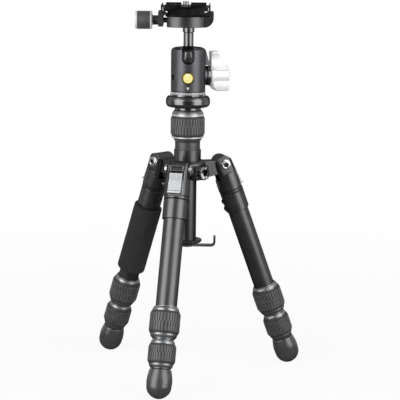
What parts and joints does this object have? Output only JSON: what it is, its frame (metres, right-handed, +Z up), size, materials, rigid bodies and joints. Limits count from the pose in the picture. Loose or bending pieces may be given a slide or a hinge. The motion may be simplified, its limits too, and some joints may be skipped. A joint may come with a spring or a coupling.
{
  "type": "travel tripod",
  "caption": "Travel tripod with folding telescopic legs, a sliding centre column with a hook, and a ball head whose clamp holds a quick-release camera plate.",
  "frame": {"origin": "on the floor, on the axis of the centre column", "axes": "+Z up along the column, -Y the front of the head, +X towards its ball lock knob"},
  "size_m": [0.202, 0.1984, 0.3595],
  "materials": {
    "casting": "black satin powder-coated casting",
    "bright_metal": "bright satin anodised aluminium",
    "steel": "turned and plated steel",
    "tube_metal": "dark grey satin anodised tube",
    "sleeve_metal": "grey satin anodised sleeve",
    "ring_metal": "gunmetal anodised, turned",
    "grip_rubber": "matte ribbed rubber",
    "pad_rubber": "matte rubber",
    "foam": "closed-cell foam sleeve",
    "nylon": "moulded nylon",
    "gloss_black": "polished black anodised",
    "head_metal": "dark grey satin anodised",
    "plate_metal": "black satin anodised",
    "knob_metal": "bright turned aluminium",
    "level": "yellow level vial in a dark gold rim"
  },
  "bodies": {
    "spider": {"spider": "casting", "accessory_port": "bright_metal", "column_sleeve": "sleeve_metal"},
    "column_bush": {"column_bush": "nylon"},
    "column": {"column_tube": "tube_metal", "column_end": "nylon", "platform_disc": "gloss_black", "head_stud": "steel", "pan_base": "head_metal"},
    "column_lock": {"column_lock_collar": "ring_metal", "column_lock_grip": "grip_rubber"},
    "hook": {"hook": "casting"},
    "head": {"head_body": "head_metal", "ball_cup": "nylon", "bubble_level": "level"},
    "ball_lock": {"ball_lock_knob": "bright_metal"},
    "pan_lock": {"pan_lock_knob": "head_metal"},
    "ball": {"ball": "gloss_black"},
    "stem": {"stem": "gloss_black"},
    "clamp": {"clamp_body": "head_metal"},
    "jaw": {"clamp_jaw": "head_metal"},
    "clamp_knob": {"clamp_knob": "knob_metal", "clamp_knob_grip": "grip_rubber"},
    "plate": {"plate": "plate_metal", "plate_pad": "pad_rubber"},
    "camera_screw": {"camera_screw": "steel"},
    "front_leg": {"front_yoke": "casting", "front_fasteners": "steel", "front_upper_tube": "tube_metal"},
    "front_angle_lock": {"front_angle_lock": "bright_metal"},
    "front_upper_lock": {"front_upper_collar": "ring_metal", "front_upper_grip": "grip_rubber"},
    "front_middle": {"front_middle_tube": "tube_metal"},
    "front_lower_lock": {"front_lower_collar": "ring_metal", "front_lower_grip": "grip_rubber"},
    "front_lower": {"front_lower_tube": "tube_metal", "front_foot": "grip_rubber"},
    "right_leg": {"right_yoke": "casting", "right_fasteners": "steel", "right_upper_tube": "tube_metal"},
    "right_angle_lock": {"right_angle_lock": "bright_metal"},
    "right_upper_lock": {"right_upper_collar": "ring_metal", "right_upper_grip": "grip_rubber"},
    "right_middle": {"right_middle_tube": "tube_metal"},
    "right_lower_lock": {"right_lower_collar": "ring_metal", "right_lower_grip": "grip_rubber"},
    "right_lower": {"right_lower_tube": "tube_metal", "right_foot": "grip_rubber"},
    "left_leg": {"left_yoke": "casting", "left_fasteners": "steel", "left_upper_tube": "tube_metal", "left_foam_grip": "foam"},
    "left_angle_lock": {"left_angle_lock": "bright_metal"},
    "left_upper_lock": {"left_upper_collar": "ring_metal", "left_upper_grip": "grip_rubber"},
    "left_middle": {"left_middle_tube": "tube_metal"},
    "left_lower_lock": {"left_lower_collar": "ring_metal", "left_lower_grip": "grip_rubber"},
    "left_lower": {"left_lower_tube": "tube_metal", "left_foot": "grip_rubber"}
  },
  "joints": [
    {"name": "column_turn", "type": "hinge", "parent": "spider", "child": "column_bush", "pos_m": [0, 0, 0.23], "axis": [0, 0, 1], "continuous": true},
    {"name": "column_slide", "type": "slide", "parent": "column_bush", "child": "column", "axis": [0, 0, 1], "range_m": [0, 0.055]},
    {"name": "column_lock_turn", "type": "hinge", "parent": "spider", "child": "column_lock", "pos_m": [0, 0, 0.22553], "axis": [0, 0, 1], "range_deg": [-90, 0]},
    {"name": "hook_swivel", "type": "hinge", "parent": "column", "child": "hook", "pos_m": [0, 0, 0.12538], "axis": [0, 0, 1], "continuous": true},
    {"name": "pan", "type": "hinge", "parent": "column", "child": "head", "pos_m": [0, 0, 0.27433], "axis": [0, 0, 1], "continuous": true},
    {"name": "ball_lock_turn", "type": "hinge", "parent": "head", "child": "ball_lock", "pos_m": [0.01913, 0.00585, 0.28853], "axis": [0.9563, 0.2924, 0], "range_deg": [0, 360]},
    {"name": "pan_lock_turn", "type": "hinge", "parent": "head", "child": "pan_lock", "pos_m": [0, 0.02, 0.27893], "axis": [0, 1, 0], "range_deg": [0, 360]},
    {"name": "ball_roll", "type": "hinge", "parent": "head", "child": "ball", "pos_m": [0, 0, 0.30607], "axis": [0, 1, 0], "range_deg": [-25, 25]},
    {"name": "ball_tilt", "type": "hinge", "parent": "ball", "child": "stem", "pos_m": [0, 0, 0.30607], "axis": [1, 0, 0], "range_deg": [-25, 90]},
    {"name": "ball_spin", "type": "hinge", "parent": "stem", "child": "clamp", "pos_m": [0, 0, 0.30607], "axis": [0, 0, 1], "continuous": true},
    {"name": "jaw_slide", "type": "slide", "parent": "clamp", "child": "jaw", "axis": [-1, 0, 0], "range_m": [0, 0.00375]},
    {"name": "clamp_knob_turn", "type": "hinge", "parent": "jaw", "child": "clamp_knob", "pos_m": [-0.03, 0, 0.34127], "axis": [-1, 0, 0], "range_deg": [0, 1080]},
    {"name": "plate_slide", "type": "slide", "parent": "clamp", "child": "plate", "axis": [0, 1, 0], "range_m": [-0.012, 0.012]},
    {"name": "camera_screw_turn", "type": "hinge", "parent": "plate", "child": "camera_screw", "pos_m": [-0.0027, 0, 0.35087], "axis": [0, 0, 1], "continuous": true},
    {"name": "front_leg_spread", "type": "hinge", "parent": "spider", "child": "front_leg", "pos_m": [-0.00775, -0.03413, 0.20303], "axis": [-0.9751, 0.2215, 0], "range_deg": [-18.4, 60]},
    {"name": "front_angle_lock_slide", "type": "slide", "parent": "front_leg", "child": "front_angle_lock", "axis": [0.0769, 0.3383, 0.9379], "range_m": [0, 0.0022]},
    {"name": "front_upper_lock_turn", "type": "hinge", "parent": "front_leg", "child": "front_upper_lock", "pos_m": [-0.0189, -0.08319, 0.06703], "axis": [0.0769, 0.3383, 0.9379], "range_deg": [-90, 0]},
    {"name": "front_middle_slide", "type": "slide", "parent": "front_leg", "child": "front_middle", "axis": [-0.0769, -0.3383, -0.9379], "range_m": [0, 0.095]},
    {"name": "front_lower_lock_turn", "type": "hinge", "parent": "front_middle", "child": "front_lower_lock", "pos_m": [-0.02113, -0.093, 0.03984], "axis": [0.0769, 0.3383, 0.9379], "range_deg": [-90, 0]},
    {"name": "front_lower_slide", "type": "slide", "parent": "front_middle", "child": "front_lower", "axis": [-0.0769, -0.3383, -0.9379], "range_m": [0, 0.115]},
    {"name": "right_leg_spread", "type": "hinge", "parent": "spider", "child": "right_leg", "pos_m": [0.03343, 0.01035, 0.20303], "axis": [0.2957, -0.9553, 0], "range_deg": [-18.4, 60]},
    {"name": "right_angle_lock_slide", "type": "slide", "parent": "right_leg", "child": "right_angle_lock", "axis": [-0.3314, -0.1026, 0.9379], "range_m": [0, 0.0022]},
    {"name": "right_upper_lock_turn", "type": "hinge", "parent": "right_leg", "child": "right_upper_lock", "pos_m": [0.08149, 0.02523, 0.06703], "axis": [-0.3314, -0.1026, 0.9379], "range_deg": [-90, 0]},
    {"name": "right_middle_slide", "type": "slide", "parent": "right_leg", "child": "right_middle", "axis": [0.3314, 0.1026, -0.9379], "range_m": [0, 0.095]},
    {"name": "right_lower_lock_turn", "type": "hinge", "parent": "right_middle", "child": "right_lower_lock", "pos_m": [0.0911, 0.0282, 0.03984], "axis": [-0.3314, -0.1026, 0.9379], "range_deg": [-90, 0]},
    {"name": "right_lower_slide", "type": "slide", "parent": "right_middle", "child": "right_lower", "axis": [0.3314, 0.1026, -0.9379], "range_m": [0, 0.115]},
    {"name": "left_leg_spread", "type": "hinge", "parent": "spider", "child": "left_leg", "pos_m": [-0.02568, 0.02378, 0.20303], "axis": [0.6794, 0.7337, 0], "range_deg": [-18.4, 60]},
    {"name": "left_angle_lock_slide", "type": "slide", "parent": "left_leg", "child": "left_angle_lock", "axis": [0.2546, -0.2357, 0.9379], "range_m": [0, 0.0022]},
    {"name": "left_upper_lock_turn", "type": "hinge", "parent": "left_leg", "child": "left_upper_lock", "pos_m": [-0.06259, 0.05796, 0.06703], "axis": [0.2546, -0.2357, 0.9379], "range_deg": [-90, 0]},
    {"name": "left_middle_slide", "type": "slide", "parent": "left_leg", "child": "left_middle", "axis": [-0.2546, 0.2357, -0.9379], "range_m": [0, 0.095]},
    {"name": "left_lower_lock_turn", "type": "hinge", "parent": "left_middle", "child": "left_lower_lock", "pos_m": [-0.06997, 0.0648, 0.03984], "axis": [0.2546, -0.2357, 0.9379], "range_deg": [-90, 0]},
    {"name": "left_lower_slide", "type": "slide", "parent": "left_middle", "child": "left_lower", "axis": [-0.2546, 0.2357, -0.9379], "range_m": [0, 0.115]}
  ],
  "couplings": [
    {"joint": "jaw_slide", "follows": "clamp_knob_turn", "m_per_rad": 0.00019894}
  ]
}
